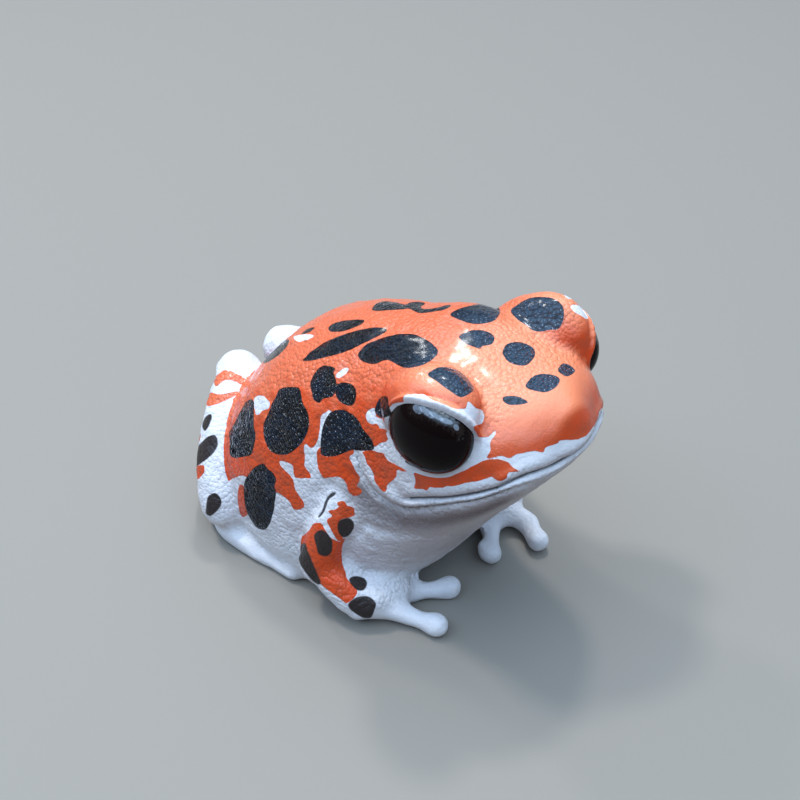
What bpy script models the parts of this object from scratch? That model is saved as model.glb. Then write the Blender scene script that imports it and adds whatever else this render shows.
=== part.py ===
"""Painted toy figure of a strawberry poison dart frog, sitting with its head raised.

The figure is a plastic moulding: a head and torso in one sweep, two plugged-in arms and two folded hind legs,
parted here into named body parts, with two glossy eyes set into the head.
Units: the sizes below are millimetres, and MM turns them into Blender's metres.
Axes: the frog looks along -Y, its left side is +X, and it sits on the plane z = 0.
"""

import math

import bmesh
import bpy
from mathutils import Matrix, Vector

MM = 0.001

# Driving sizes of the whole figure
BODY_PITCH = math.radians(25.0)
SNOUT = Vector((0.0, -10.2, 25.6))
MIDDLE_Y = 12.71
GAP = 0.3
RIGHT = -1.0

# The trunk, read along its own axis from the snout to the rump:
# distance back, top, underside, half width, height of the widest point, squareness above and below
TRUNK = (
    (2.5, 1.3, -2.3, 2.4, -0.7, 2.2, 2.2),
    (3.2, 2.6, -3.1, 4.4, -1.1, 2.2, 2.2),
    (4.5, 3.9, -4.2, 6.7, -1.6, 2.3, 2.2),
    (6.6, 5.5, -5.3, 8.7, -2.1, 2.4, 2.2),
    (9.8, 7.8, -7.0, 9.8, -2.5, 2.4, 2.3),
    (13.0, 9.7, -8.6, 10.1, -3.0, 2.3, 2.4),
    (18.0, 11.1, -11.4, 10.2, -3.6, 2.2, 2.5),
    (24.0, 11.9, -14.9, 11.2, -4.6, 2.2, 2.7),
    (30.0, 11.6, -16.4, 12.5, -5.2, 2.2, 3.1),
    (35.0, 9.9, -14.6, 12.9, -5.2, 2.2, 3.2),
    (40.0, 7.3, -11.0, 12.0, -4.4, 2.2, 2.8),
    (44.0, 4.6, -7.8, 9.8, -2.8, 2.2, 2.4),
    (46.6, 2.4, -5.0, 6.8, -1.4, 2.2, 2.2),
    (48.0, 0.4, -2.2, 2.8, -0.8, 2.0, 2.0),
)
TRUNK_STEP = 0.8
TRUNK_SIDES = 56

# Eyelid bulges and eyes: centre, half sizes across, along and up
LID_CENTRE = (7.6, 1.6, 25.2)
LID_SIZE = (3.4, 5.2, 4.4)
EYE_CENTRE = (9.1, 0.3, 24.5)
EYE_SIZE = (2.7, 4.0, 3.6)
EYE_PITCH = math.radians(28.0)

# The mouth: a groove in a plane that rises from the corners to the snout
MOUTH_FRONT = -1.6
MOUTH_SLOPE = 0.09
MOUTH_LENGTH = 17.6
MOUTH_DEPTH = 0.7
MOUTH_WIDTH = 0.35
MOUTH_SPAN = 30.0
MOUTH_OVERSHOOT = 4.0

# The neck: a round cut that passes behind the jaw and under the chin
NECK_CENTRE = (2.0, 22.3)
NECK_RADIUS = 9.7
NECK_HALF_WIDTH = 16.0
NECK_START = math.radians(62.0)
NECK_TURN = math.radians(9.0)
NECK_STEPS = 26

# Limbs of the right side: centre of each bead and its radius, joined by a smooth path
UPPER_ARM = (
    (-9.4, 10.2, 12.2, 2.3),
    (-10.6, 10.5, 9.8, 2.3),
    (-11.7, 11.1, 7.0, 2.2),
    (-12.3, 11.4, 5.0, 2.15),
)
FOREARM = (
    (-12.3, 11.2, 4.9, 1.95),
    (-12.1, 9.4, 3.9, 2.0),
    (-11.8, 7.4, 2.8, 1.95),
)
PALM = (
    (-11.8, 7.0, 2.3, 1.85),
    (-10.2, 6.4, 2.2, 2.3),
    (-8.3, 5.8, 1.9, 2.1),
)
OUTER_FINGER = (
    (-9.8, 5.4, 1.5, 1.5),
    (-9.0, 3.2, 1.1, 1.1),
    (-8.5, 1.4, 0.95, 0.95),
    (-8.1, 0.0, 1.1, 1.3),
)
INNER_FINGER = (
    (-8.0, 5.8, 1.6, 1.6),
    (-6.2, 4.8, 1.1, 1.15),
    (-4.7, 3.5, 0.95, 0.95),
    (-3.3, 2.4, 1.1, 1.3),
)
THIGH = (
    (-3.5, 31.0, 13.6, 2.4),
    (-5.4, 30.4, 13.0, 2.55),
    (-7.8, 29.0, 10.8, 2.75),
    (-9.9, 27.6, 7.8, 2.95),
    (-11.4, 26.4, 5.4, 2.8),
    (-12.0, 25.7, 4.2, 2.5),
)
THIGH_BACK = (
    (-4.4, 31.8, 11.6, 2.0),
    (-7.0, 30.8, 8.4, 2.1),
    (-9.4, 28.6, 5.4, 2.1),
)
HIP_KNOB = (-3.4, 31.9, 13.5, 2.6)
SHANK = (
    (-12.0, 25.9, 4.0, 2.1),
    (-10.6, 29.0, 3.0, 1.9),
    (-8.4, 31.6, 2.3, 1.7),
)
FOOT = (
    (-8.6, 31.4, 1.4, 1.4),
    (-10.6, 28.6, 1.1, 1.3),
    (-12.0, 24.8, 1.0, 1.3),
    (-12.1, 20.4, 0.9, 1.1),
    (-12.0, 17.4, 0.8, 0.9),
    (-11.9, 15.6, 0.95, 1.1),
)

# Mesh fineness
VOXEL = 0.42
BEAD_STEP = 0.35
SMOOTHING = 5
SNAP = 0.12
SHARP_FROM = math.radians(40.0)
TINY = 0.01

# Triangles kept in each piece before it is cut
TRUNK_TRIANGLES = 3600
UPPER_ARM_TRIANGLES = 280
FOREARM_TRIANGLES = 200
HAND_TRIANGLES = 600
THIGH_TRIANGLES = 420
SHANK_TRIANGLES = 200
FOOT_TRIANGLES = 360

# Paint and plastic: colour, roughness
ORANGE_PAINT = ((0.80, 0.12, 0.025), 0.38)
WHITE_PLASTIC = ((0.72, 0.72, 0.74), 0.42)
BLACK_GLOSS = ((0.006, 0.006, 0.008), 0.06)


def world(x, y, z):
    """A point of the figure, in metres from the middle of its footprint."""
    return Vector((x, y - MIDDLE_Y, z)) * MM


def trunk_point(back, across, up):
    """A point given along the trunk's tilted axis, in the figure's own millimetres."""
    y = SNOUT.y + back * math.cos(BODY_PITCH) + up * math.sin(BODY_PITCH)
    z = SNOUT.z - back * math.sin(BODY_PITCH) + up * math.cos(BODY_PITCH)
    return across, y, z


def between(rows, index, share):
    """Catmull-Rom value of every column of rows, a share of the way from row index to the next."""
    before, start, end, after = (rows[min(max(index + step, 0), len(rows) - 1)] for step in (-1, 0, 1, 2))
    values = []
    for p0, p1, p2, p3 in zip(before, start, end, after):
        bend = (2 * p0 - 5 * p1 + 4 * p2 - p3) * share + (3 * p1 - p0 - 3 * p2 + p3) * share ** 2
        values.append(p1 + 0.5 * share * (p2 - p0 + bend))
    return values


def resample(rows, step, span):
    """Rows at an even step along the chain, where span measures the distance between two rows."""
    fine = []
    for index in range(len(rows) - 1):
        count = max(1, math.ceil(span(rows[index], rows[index + 1]) / step))
        fine += [between(rows, index, number / count) for number in range(count)]
    return fine + [list(rows[-1])]


def clear_scene():
    for thing in list(bpy.data.objects):
        bpy.data.objects.remove(thing, do_unlink=True)


def make_collection(name):
    collection = bpy.data.collections.new(name)
    bpy.context.scene.collection.children.link(collection)
    return collection


def make_object(name, mesh, collection):
    thing = bpy.data.objects.new(name, mesh)
    collection.objects.link(thing)
    return thing


def bmesh_object(name, shape, collection):
    mesh = bpy.data.meshes.new(name)
    shape.to_mesh(mesh)
    shape.free()
    return make_object(name, mesh, collection)


def applied(thing):
    """Gives an object the mesh that its modifiers make, and drops the modifiers."""
    bpy.context.view_layer.update()
    evaluated = thing.evaluated_get(bpy.context.evaluated_depsgraph_get())
    mesh = bpy.data.meshes.new_from_object(evaluated)
    thing.modifiers.clear()
    thing.data = mesh
    return thing


def superellipse(angle, squareness):
    """Across and up shares of a rounded section at an angle."""
    across = math.copysign(abs(math.cos(angle)) ** (2 / squareness), math.cos(angle))
    up = math.copysign(abs(math.sin(angle)) ** (2 / squareness), math.sin(angle))
    return across, up


def trunk_loft(shape):
    """Adds the head and torso as a sweep of rounded sections, closed at the snout and the rump."""
    rings = []
    for back, top, bottom, half, middle, square_top, square_low in resample(
        TRUNK, TRUNK_STEP, lambda a, b: b[0] - a[0]
    ):
        ring = []
        for number in range(TRUNK_SIDES):
            angle = 2 * math.pi * number / TRUNK_SIDES
            upper = math.sin(angle) >= 0
            across, up = superellipse(angle, square_top if upper else square_low)
            reach = top - middle if upper else middle - bottom
            ring.append(shape.verts.new(world(*trunk_point(back, half * across, middle + reach * up))))
        rings.append(ring)
    for ahead, behind in zip(rings, rings[1:]):
        for number in range(TRUNK_SIDES):
            following = (number + 1) % TRUNK_SIDES
            shape.faces.new((ahead[number], behind[number], behind[following], ahead[following]))
    shape.faces.new(rings[0])
    shape.faces.new(reversed(rings[-1]))


def add_ball(shape, centre, size, pitch=0.0, detail=3):
    """Adds an ellipsoid whose long axis is pitched up towards the snout."""
    place = Matrix.Translation(world(*centre)) @ Matrix.Rotation(-pitch, 4, "X")
    stretch = Matrix.Diagonal((size[0] * MM, size[1] * MM, size[2] * MM, 1.0))
    bmesh.ops.create_icosphere(shape, subdivisions=detail, radius=1.0, matrix=place @ stretch)


def apart(bead, other):
    return (Vector(bead[:3]) - Vector(other[:3])).length


def add_beads(shape, beads):
    """Adds a limb as close-set balls along a smooth path through its named beads."""
    for x, y, z, radius in resample(beads, BEAD_STEP, apart):
        add_ball(shape, (x, y, z), (radius, radius, radius), detail=2)


def melt(name, shape, triangles, collection):
    """Fuses overlapping bodies into one soft skin, thins it to a count, and cuts it level with the floor."""
    thing = bmesh_object(name, shape, collection)
    remesh = thing.modifiers.new("fuse", "REMESH")
    remesh.mode = "VOXEL"
    remesh.voxel_size = VOXEL * MM
    soften = thing.modifiers.new("soften", "SMOOTH")
    soften.factor = 0.5
    soften.iterations = SMOOTHING
    applied(thing)
    thin = thing.modifiers.new("thin", "DECIMATE")
    thin.use_collapse_triangulate = True
    thin.ratio = triangles / (2.0 * len(thing.data.polygons))
    applied(thing)
    level_base(thing)
    return thing


def level_base(thing):
    """Cuts off what dips below z = 0 and closes the cut with a flat."""
    shape = bmesh.new()
    shape.from_mesh(thing.data)
    for vertex in shape.verts:
        if abs(vertex.co.z) < SNAP * MM:
            vertex.co.z = 0.0
    everything = shape.verts[:] + shape.edges[:] + shape.faces[:]
    bmesh.ops.bisect_plane(
        shape, geom=everything, dist=1e-7, plane_co=(0, 0, 0), plane_no=(0, 0, -1), clear_outer=True
    )
    rim = [edge for edge in shape.edges if edge.is_boundary]
    if rim:
        bmesh.ops.holes_fill(shape, edges=rim)
    tidy(shape)
    shape.to_mesh(thing.data)
    shape.free()


def tidy(shape):
    """Merges specks, drops folded pairs of faces, closes what that opens, and leaves plain triangles."""
    bmesh.ops.triangulate(shape, faces=shape.faces[:])
    bmesh.ops.remove_doubles(shape, verts=shape.verts[:], dist=TINY * MM)
    bmesh.ops.dissolve_degenerate(shape, edges=shape.edges[:], dist=TINY * MM)
    bmesh.ops.triangulate(shape, faces=shape.faces[:])
    sharing = {}
    for face in shape.faces:
        sharing.setdefault(frozenset(vertex.index for vertex in face.verts), []).append(face)
    folded = [face for group in sharing.values() if len(group) > 1 for face in group]
    bmesh.ops.delete(shape, geom=folded, context="FACES")
    rim = [edge for edge in shape.edges if edge.is_boundary]
    if rim:
        bmesh.ops.holes_fill(shape, edges=rim)
        bmesh.ops.triangulate(shape, faces=shape.faces[:])


def bodies_of(thing):
    """The separate closed surfaces of a mesh, each as a list of face numbers."""
    shape = bmesh.new()
    shape.from_mesh(thing.data)
    shape.faces.ensure_lookup_table()
    left = set(range(len(shape.faces)))
    found = []
    while left:
        group = [left.pop()]
        for number in group:
            for edge in shape.faces[number].edges:
                for face in edge.link_faces:
                    if face.index in left:
                        left.remove(face.index)
                        group.append(face.index)
        found.append(sorted(group))
    shape.free()
    return sorted(found, key=len, reverse=True)


def keep_faces(thing, faces, name, collection):
    """A new object that holds only the named faces of another."""
    shape = bmesh.new()
    shape.from_mesh(thing.data)
    shape.faces.ensure_lookup_table()
    wanted = set(faces)
    bmesh.ops.delete(shape, geom=[face for face in shape.faces if face.index not in wanted], context="FACES")
    return bmesh_object(name, shape, collection)


def swollen(thing, distance, collection):
    """A copy of a body, grown along its normals."""
    copy = make_object("grown_" + thing.name, thing.data.copy(), collection)
    grow = copy.modifiers.new("grow", "DISPLACE")
    grow.strength = distance * MM
    grow.mid_level = 0.0
    return applied(copy)


def is_closed(mesh):
    shape = bmesh.new()
    shape.from_mesh(mesh)
    closed = len(shape.faces) > 0 and all(edge.is_manifold for edge in shape.edges)
    shape.free()
    return closed


def take_out(thing, cutter, solver):
    """Cuts one body out of another, and says whether the rest is still closed."""
    uncut = thing.data
    remove = thing.modifiers.new("cut", "BOOLEAN")
    remove.operation = "DIFFERENCE"
    remove.solver = solver
    remove.object = cutter
    applied(thing)
    shape = bmesh.new()
    shape.from_mesh(thing.data)
    tidy(shape)
    shape.to_mesh(thing.data)
    shape.free()
    if is_closed(thing.data):
        return True
    thing.data = uncut
    return False


def cut(thing, cutters):
    """Takes the cutters out of a body, one after another."""
    for cutter in cutters:
        if not take_out(thing, cutter, "EXACT"):
            take_out(thing, cutter, "MANIFOLD")
    return thing


def largest(thing, collection):
    kept = keep_faces(thing, bodies_of(thing)[0], thing.name + "_kept", collection)
    thing.data = kept.data
    bpy.data.objects.remove(kept, do_unlink=True)
    return thing


def neck_sheet(collection):
    """A thin round sheet, bent about the head, that parts it from the torso."""
    shape = bmesh.new()
    rows = []
    for number in range(NECK_STEPS + 1):
        angle = NECK_START - number * NECK_TURN
        y = NECK_CENTRE[0] + NECK_RADIUS * math.cos(angle)
        z = NECK_CENTRE[1] + NECK_RADIUS * math.sin(angle)
        rows.append([shape.verts.new(world(side * NECK_HALF_WIDTH, y, z)) for side in (-1, 1)])
    for ahead, behind in zip(rows, rows[1:]):
        shape.faces.new((ahead[0], ahead[1], behind[1], behind[0]))
    sheet = bmesh_object("neck_sheet", shape, collection)
    wall = sheet.modifiers.new("wall", "SOLIDIFY")
    wall.thickness = GAP * MM
    wall.offset = 0.0
    return applied(sheet)


def mouth_slab(trunk, collection):
    """The groove between the lips: a thin slab with the head's core, one depth smaller, taken out."""
    shape = bmesh.new()
    middle = MOUTH_LENGTH / 2 - MOUTH_OVERSHOOT / 2
    centre = trunk_point(middle, 0.0, MOUTH_FRONT - MOUTH_SLOPE * middle)
    place = Matrix.Translation(world(*centre))
    turn = Matrix.Rotation(-(BODY_PITCH + math.atan(MOUTH_SLOPE)), 4, "X")
    size = Matrix.Diagonal((MOUTH_SPAN * MM, (MOUTH_LENGTH + MOUTH_OVERSHOOT) * MM, MOUTH_WIDTH * MM, 1.0))
    bmesh.ops.create_cube(shape, size=1.0, matrix=place @ turn @ size)
    slab = bmesh_object("mouth_slab", shape, collection)
    core = swollen(trunk, -MOUTH_DEPTH, collection)
    return cut(slab, [core])


def eye_ball(name, side, growth, collection):
    shape = bmesh.new()
    place = Matrix.Translation(world(side * EYE_CENTRE[0], EYE_CENTRE[1], EYE_CENTRE[2]))
    tilt = Matrix.Rotation(-EYE_PITCH, 4, "X")
    lay = Matrix.Rotation(math.radians(90.0), 4, "Y")
    across, along, up = (half + growth for half in EYE_SIZE)
    size = Matrix.Diagonal((across * MM, along * MM, up * MM, 1.0))
    bmesh.ops.create_uvsphere(
        shape, u_segments=22, v_segments=12, radius=1.0, matrix=place @ tilt @ size @ lay
    )
    return bmesh_object(name, shape, collection)


def mirrored(thing, name, collection):
    """The left-hand twin of a right-hand piece."""
    shape = bmesh.new()
    shape.from_mesh(thing.data)
    bmesh.ops.scale(shape, vec=(-1.0, 1.0, 1.0), verts=shape.verts[:])
    bmesh.ops.reverse_faces(shape, faces=shape.faces[:])
    return bmesh_object(name, shape, collection)


def finish(thing, look):
    """Gives a piece its own material and smooth shading."""
    colour, roughness = look
    material = bpy.data.materials.new(thing.name)
    material.use_nodes = True
    shader = material.node_tree.nodes["Principled BSDF"]
    shader.inputs["Base Color"].default_value = (*colour, 1.0)
    shader.inputs["Roughness"].default_value = roughness
    shader.inputs["Metallic"].default_value = 0.0
    thing.data.materials.clear()
    thing.data.materials.append(material)
    thing.data.shade_smooth()
    thing.data.set_sharp_from_angle(angle=SHARP_FROM)


def make_trunk(seats, figure, cutters):
    """Head and torso, melted in one piece, parted by the neck sheet, with a seat for each limb."""
    shape = bmesh.new()
    trunk_loft(shape)
    for side in (-1, 1):
        add_ball(shape, (side * LID_CENTRE[0], *LID_CENTRE[1:]), LID_SIZE, BODY_PITCH, detail=4)
    whole = melt("trunk", shape, TRUNK_TRIANGLES, cutters)
    mouth = mouth_slab(whole, cutters)
    sockets = [eye_ball("socket", side, GAP, cutters) for side in (-1, 1)]
    cut(whole, [*seats, *sockets, mouth, neck_sheet(cutters)])
    pieces = [keep_faces(whole, faces, "trunk_piece", figure) for faces in bodies_of(whole)[:2]]
    torso, head = sorted(pieces, key=mean_height)
    torso.name = "torso"
    head.name = "head"
    return head, torso


def mean_height(piece):
    return sum(vertex.co.z for vertex in piece.data.vertices) / len(piece.data.vertices)


def make_limb(name, chains, triangles, neighbours, figure, cutters, extra=()):
    """A limb piece melted from its bead chains, and the seat that it needs in whatever it meets."""
    shape = bmesh.new()
    for chain in chains:
        add_beads(shape, chain)
    for x, y, z, radius in extra:
        add_ball(shape, (x, y, z), (radius, radius, radius))
    limb = melt(name, shape, triangles, figure)
    seat = swollen(limb, GAP, cutters)
    cut(limb, neighbours)
    return largest(limb, figure), seat


def make_limbs(figure, cutters):
    """The right arm and leg from the shoulder and hip outwards, each piece cut clear of the one before."""
    upper_arm, arm_seat = make_limb("right_upper_arm", [UPPER_ARM], UPPER_ARM_TRIANGLES, [], figure, cutters)
    forearm, fore_seat = make_limb(
        "right_forearm", [FOREARM], FOREARM_TRIANGLES, [arm_seat], figure, cutters
    )
    hand, hand_seat = make_limb(
        "right_hand", [PALM, OUTER_FINGER, INNER_FINGER], HAND_TRIANGLES, [fore_seat, arm_seat], figure, cutters
    )
    thigh, thigh_seat = make_limb(
        "right_thigh", [THIGH, THIGH_BACK], THIGH_TRIANGLES, [], figure, cutters, [HIP_KNOB]
    )
    shank, shank_seat = make_limb("right_shank", [SHANK], SHANK_TRIANGLES, [thigh_seat], figure, cutters)
    foot, foot_seat = make_limb(
        "right_foot", [FOOT], FOOT_TRIANGLES, [thigh_seat, shank_seat], figure, cutters
    )
    limbs = [upper_arm, forearm, hand, thigh, shank, foot]
    seats = [arm_seat, fore_seat, hand_seat, thigh_seat, shank_seat, foot_seat]
    return limbs, seats


def build():
    clear_scene()
    figure = make_collection("dart_frog_figure")
    cutters = make_collection("cutters")
    right_limbs, seats = make_limbs(figure, cutters)
    left_limbs = [mirrored(limb, limb.name.replace("right_", "left_"), figure) for limb in right_limbs]
    seats += [mirrored(seat, seat.name + "_left", cutters) for seat in seats]
    head, torso = make_trunk(seats, figure, cutters)
    eyes = [eye_ball(name, side, 0.0, figure) for name, side in (("right_eye", RIGHT), ("left_eye", -RIGHT))]

    painted = ("head", "torso", "upper_arm", "forearm")
    for piece in [head, torso, *right_limbs, *left_limbs]:
        finish(piece, ORANGE_PAINT if piece.name.endswith(painted) else WHITE_PLASTIC)
    for eye in eyes:
        finish(eye, BLACK_GLOSS)
    for thing in cutters.objects:
        thing.hide_render = True
        thing.display_type = "WIRE"


build()
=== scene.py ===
"""Looks of a painted toy dart frog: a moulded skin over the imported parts, gloss eyes, paint and light."""

import math

import bmesh
import bpy
import numpy as np
from mathutils import Matrix, Vector, noise
from mathutils.bvhtree import BVHTree


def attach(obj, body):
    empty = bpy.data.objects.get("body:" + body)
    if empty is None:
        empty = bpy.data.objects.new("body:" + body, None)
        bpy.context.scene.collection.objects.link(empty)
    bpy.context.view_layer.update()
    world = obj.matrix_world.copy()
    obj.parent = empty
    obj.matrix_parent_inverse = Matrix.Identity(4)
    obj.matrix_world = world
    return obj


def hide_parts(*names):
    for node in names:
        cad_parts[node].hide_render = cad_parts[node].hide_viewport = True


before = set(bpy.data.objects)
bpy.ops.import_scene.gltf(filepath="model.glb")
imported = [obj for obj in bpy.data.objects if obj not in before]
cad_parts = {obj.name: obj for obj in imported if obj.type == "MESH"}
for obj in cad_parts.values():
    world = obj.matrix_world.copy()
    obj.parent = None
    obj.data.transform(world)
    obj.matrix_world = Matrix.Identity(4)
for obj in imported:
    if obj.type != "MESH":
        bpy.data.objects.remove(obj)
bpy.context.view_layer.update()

# Camera
# The figure is seen from its right front and well above, as a phone held over a small toy sees it.
# The lens and place also turn a spot's place in the photograph into a place on the figure.
MM = 0.001
LENS = 54.0
SENSOR = 36.0
FRAME_SIDE = 800.0
NEAREST_SEEN = 2 * MM
CAMERA_PLACE = Vector((-71.18, -64.51, 84.43)) * MM
CAMERA_LOOK = Vector((0.6101, 0.5466, -0.5736)).normalized()
CAMERA_RIGHT = Vector((0.6673, -0.7448, 0.0)).normalized()
CAMERA_UP = CAMERA_RIGHT.cross(CAMERA_LOOK)

camera_data = bpy.data.cameras.new("camera")
camera_data.lens = LENS
camera_data.sensor_width = SENSOR
camera_data.clip_start = NEAREST_SEEN
camera = bpy.data.objects.new("camera", camera_data)
turned = Matrix((CAMERA_RIGHT, CAMERA_UP, -CAMERA_LOOK)).transposed().to_4x4()
turned.translation = CAMERA_PLACE
camera.matrix_world = turned
bpy.context.scene.collection.objects.link(camera)
bpy.context.scene.camera = camera


def sight(across, down):
    """The direction in which the camera sees a point of the 800 by 800 picture."""
    reach = SENSOR / LENS / FRAME_SIDE
    return (
        CAMERA_LOOK
        + CAMERA_RIGHT * (across - FRAME_SIDE / 2) * reach
        + CAMERA_UP * (FRAME_SIDE / 2 - down) * reach
    ).normalized()


# The moulded skin
# Head, torso and limbs of the toy are one flexible plastic moulding with plugged arms.
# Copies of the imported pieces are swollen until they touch, fused in small cubes, smoothed and shrunk back.
# Small pulls finish the outline: a place in the picture, shifts right, lower and nearer, and a reach.
FLESH = ["head", "torso"] + [
    f"{side}_{part}"
    for side in ("right", "left")
    for part in ("upper_arm", "forearm", "hand", "thigh", "shank", "foot")
]
EYES = ["right_eye", "left_eye"]
SWELL = 0.26 * MM
CUBE = 0.35 * MM
SMOOTH_ROUNDS = 19
SAME_PLACE = 0.0001 * MM
PULLS = [
    (480, 318, 0.0, -0.85, 0.0, 4.5),
    (515, 303, 0.2, 0.35, 0.0, 2.2),
    (561, 308, 0.3, -0.7, 0.0, 3.0),
    (586, 335, 0.45, 0.0, 0.0, 3.0),
    (602, 405, -0.5, 0.1, 0.0, 3.6),
    (592, 385, 0.3, 0.0, 0.0, 2.2),
    (577, 418, 0.05, 0.0, 0.55, 2.2),
    (524, 521, 1.0, -0.45, 0.0, 1.5),
    (487, 543, -0.7, 0.0, 0.0, 1.1),
]


def merged_copy(name):
    shape = bmesh.new()
    shape.from_mesh(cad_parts[name].data)
    bmesh.ops.remove_doubles(shape, verts=shape.verts[:], dist=SAME_PLACE)
    bmesh.ops.recalc_face_normals(shape, faces=shape.faces[:])
    shape.normal_update()
    return shape


def piece_from(shape, name):
    mesh = bpy.data.meshes.new(name)
    shape.to_mesh(mesh)
    shape.free()
    piece = bpy.data.objects.new(name, mesh)
    bpy.context.scene.collection.objects.link(piece)
    return piece


def keep_outside(mesh):
    """Drops the closed pockets that the fusing leaves inside the skin."""
    shape = bmesh.new()
    shape.from_mesh(mesh)
    unseen = set(shape.verts)
    islands = []
    while unseen:
        island, edge_of_it = set(), [unseen.pop()]
        while edge_of_it:
            vertex = edge_of_it.pop()
            island.add(vertex)
            for edge in vertex.link_edges:
                other = edge.other_vert(vertex)
                if other in unseen:
                    unseen.discard(other)
                    edge_of_it.append(other)
        islands.append(island)
    islands.sort(key=len)
    inner = [vertex for island in islands[:-1] for vertex in island]
    bmesh.ops.delete(shape, geom=inner, context="VERTS")
    shape.to_mesh(mesh)
    shape.free()


def fused_skin():
    whole = bmesh.new()
    for name in FLESH + EYES:
        copy = merged_copy(name)
        growth = SWELL if name in FLESH else 0.0
        for vertex in copy.verts:
            vertex.co += vertex.normal * growth
        mesh = bpy.data.meshes.new("copy")
        copy.to_mesh(mesh)
        copy.free()
        whole.from_mesh(mesh)
        bpy.data.meshes.remove(mesh)
    piece = piece_from(whole, "skin")
    fuse = piece.modifiers.new("fuse", "REMESH")
    fuse.mode = "VOXEL"
    fuse.voxel_size = CUBE
    evaluated = piece.evaluated_get(bpy.context.evaluated_depsgraph_get())
    mesh = bpy.data.meshes.new_from_object(evaluated)
    piece.modifiers.clear()
    piece.data = mesh
    keep_outside(mesh)
    return piece


def points_of(mesh):
    flat = np.empty(len(mesh.vertices) * 3)
    mesh.vertices.foreach_get("co", flat)
    return flat.reshape(-1, 3)


def normals_of(mesh):
    flat = np.empty(len(mesh.vertices) * 3)
    mesh.vertex_normals.foreach_get("vector", flat)
    return flat.reshape(-1, 3)


def put_points(mesh, points):
    mesh.vertices.foreach_set("co", points.ravel())
    mesh.update()


def smoothed(mesh, values, rounds, push=0.5, pull=-0.53):
    """Evens out values over the mesh, pushing in and out in turn so that thin fingers keep their girth."""
    flat = np.empty(len(mesh.edges) * 2, dtype=np.int64)
    mesh.edges.foreach_get("vertices", flat)
    one, other = flat.reshape(-1, 2).T
    count = np.bincount(flat, minlength=len(mesh.vertices)).astype(float)[:, None]
    for turn in range(rounds * 2):
        total = np.zeros_like(values)
        for axis in range(values.shape[1]):
            total[:, axis] = np.bincount(one, values[other, axis], len(values))
            total[:, axis] += np.bincount(other, values[one, axis], len(values))
        values = values + (push if turn % 2 == 0 else pull) * (total / count - values)
    return values


def tree_of(*meshes):
    """A search tree of the faces of the meshes."""
    shape = bmesh.new()
    for mesh in meshes:
        shape.from_mesh(mesh)
    tree = BVHTree.FromBMesh(shape)
    shape.free()
    return tree


def seen_on(mesh, line):
    """The points of a mesh under a line in the picture."""
    tree = tree_of(mesh)
    hits = [tree.ray_cast(CAMERA_PLACE, sight(*spot))[0] for spot in line]
    return np.array([hit for hit in hits if hit is not None])


skin = fused_skin()
put_points(skin.data, smoothed(skin.data, points_of(skin.data), SMOOTH_ROUNDS))
put_points(skin.data, points_of(skin.data) - normals_of(skin.data) * SWELL)
for across, down, right, lower, nearer, reach in PULLS:
    middle = seen_on(skin.data, [(across, down)])[0]
    way = np.array(CAMERA_RIGHT * right - CAMERA_UP * lower - CAMERA_LOOK * nearer) * MM
    points = points_of(skin.data)
    share = np.exp(-np.sum((points - middle) ** 2, axis=1) / (reach * MM) ** 2)
    put_points(skin.data, points + share[:, None] * way)

# Lids, lips and folds
# The moulding's finer relief: thick lids over the eyes, a cut between the lips, a rolled lip and creases.
# Each is pressed into the skin along a line seen in the picture, on both sides alike.
# The back is pebbled and the flanks are wrinkled, as the real toy's moulded grain.
MIRROR = np.array([-1.0, 1.0, 1.0])
PICTURE_PER_MM = 11.2
FAR_OFF = -3.0
DEEP_IN = 3.0
SMALLEST = 1e-9
FARTHEST = 1e9
LIP_LEAN = 0.93
EYE_SIZE = np.array([2.78, 4.2, 3.8]) * MM
EYE_PITCH = math.radians(28)
EYE_MEAN_SIZE = 3.6
LID_HEIGHT = 0.52
LID_INSIDE = 0.25
LID_ZONE = 1.5
SEEN_ENOUGH = 0.2
LIP_BANDS = (1.0 * MM, 0.5 * MM)
SEAM_BANDS = (0.7, 0.4)
RIM_BANDS = (0.9, 0.45)
LIP_SMOOTH_ROUNDS = 4
RIM_SMOOTH_ROUNDS = 5
MEAN_CELL = 0.45
PEBBLE_SIZE, PEBBLE_HEIGHT = 0.85, 0.08
WRINKLE_SIZE, WRINKLE_HEIGHT = (1.3, 1.3, 0.5), 0.07
STUD_SIZE, STUD_HEIGHT = 0.6, 0.2
SWELL_SIZE, SWELL_HEIGHT, SNOUT_CALM = (1.3, 1.3, 1.1), 0.09, 0.075
HOLLOW_WIDTH = 2.2
SEAM_DEPTH = 0.22
EYE_OPENING = [
    (393, 408), (398, 405.5), (406, 405), (417, 407.5), (427, 410.5), (439, 414), (450, 419.5),
    (459, 424.5), (467, 432), (472, 440), (473.5, 447), (472, 455), (467, 463), (459, 469), (449, 474),
    (438, 475), (426, 473), (414, 469), (403, 462), (395, 451), (389, 438), (387, 427), (388, 416),
]
LIPS = [
    (403, 499.7), (417, 498.9), (431, 498.6), (447, 498.3), (461, 496.4), (473, 494.3), (484, 492.1),
    (496, 488.9), (504, 485), (513, 480.7), (524, 476.4), (536, 472.6), (549, 467.9), (561, 461.4),
    (574, 454.3), (584, 446.4), (589, 441.4),
]
CHIN_CREASE = [
    (383, 501.4), (390, 505.7), (401, 509.3), (417, 508.6), (437, 506.4), (456, 503.6), (470, 502.1),
    (484, 498.6), (499, 493.6), (513, 488.6),
]
JAW_FOLD = [(356, 454), (359, 464), (360, 473), (367, 487), (376, 495), (384, 501)]
JAW_EDGE = [(366, 452), (369, 464), (371, 474), (377, 484), (385, 492), (394, 497)]
NECK_HOLLOW = [(352, 478), (359, 491), (369, 502), (381, 509), (395, 514)]
JAW_SHADE = [
    (358, 491), (366, 503), (380, 513), (400, 519), (425, 521), (452, 518), (478, 512), (500, 503),
]
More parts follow.
